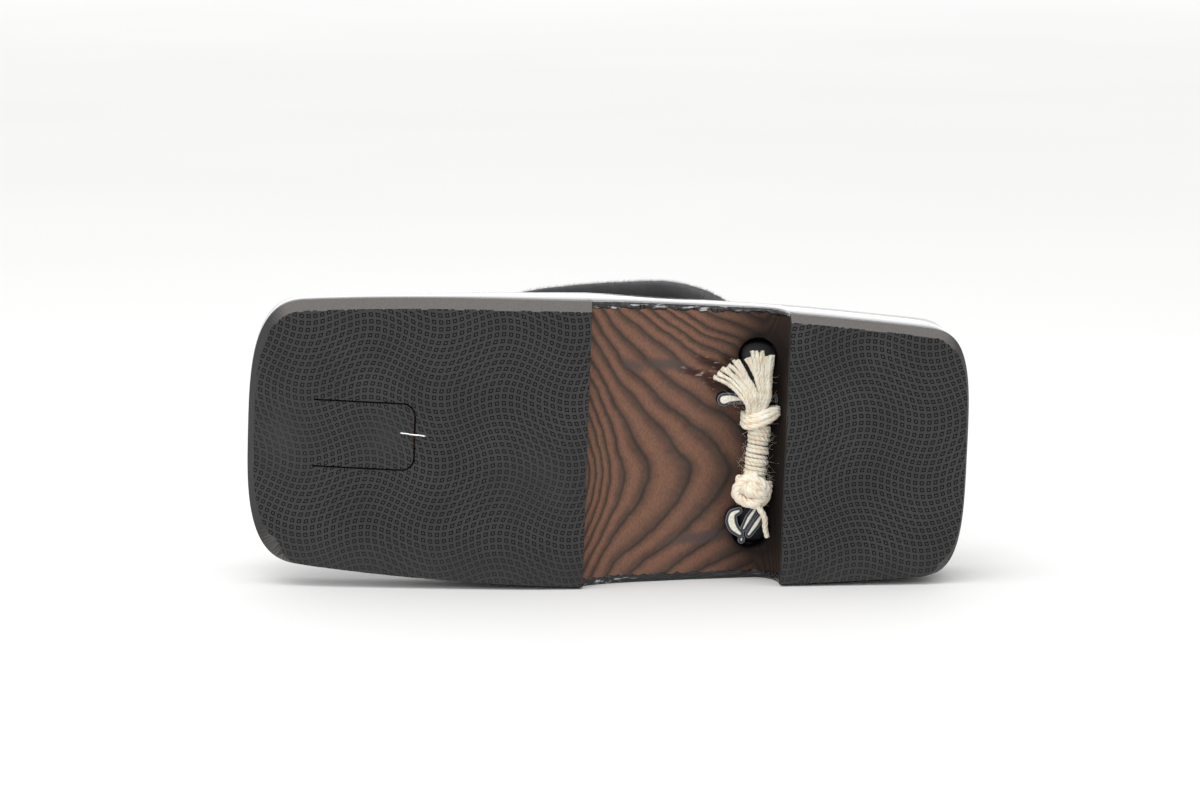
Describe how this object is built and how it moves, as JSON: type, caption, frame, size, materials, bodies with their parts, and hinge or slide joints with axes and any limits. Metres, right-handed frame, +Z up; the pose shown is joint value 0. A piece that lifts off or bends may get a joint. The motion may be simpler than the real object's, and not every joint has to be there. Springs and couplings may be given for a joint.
{
  "type": "geta sandal",
  "caption": "Low wooden sandal lying on its side, hollowed under the arch, with rubber soles and a padded thong strap tied off underneath.",
  "frame": {"origin": "centre of the bounding box's bottom face, on the floor that the sandal's right side lies on", "axes": "+X from the toe to the heel, +Y from the ground face to the upper side, +Z up from the floor, towards the sandal's left side"},
  "size_m": [0.2666, 0.0804, 0.1075],
  "materials": {
    "burnt_cedar": "burnt and brushed underneath, black lacquer on the sides and top",
    "sponge_rubber": "dull, finely patterned tread with paler trimmed edges",
    "staple_wire": "bright zinc-plated wire",
    "strap_velvet": "short-pile velvet",
    "thong_fabric": "woven cotton",
    "strap_vinyl": "glossy coated cloth with a white core at the cut",
    "tie_cotton": "soft twisted cotton strands"
  },
  "bodies": {
    "root": {"dai": "burnt_cedar", "front_sole": "sponge_rubber", "heel_sole": "sponge_rubber", "staple": "staple_wire", "hanao": "strap_velvet", "toe_thong": "thong_fabric", "strap_end_left": "strap_vinyl", "strap_end_right": "strap_vinyl", "tie_wrap": "tie_cotton", "tie_fray_toe": "tie_cotton", "tie_fray_heel": "tie_cotton", "tie_tail": "tie_cotton"}
  },
  "joints": []
}
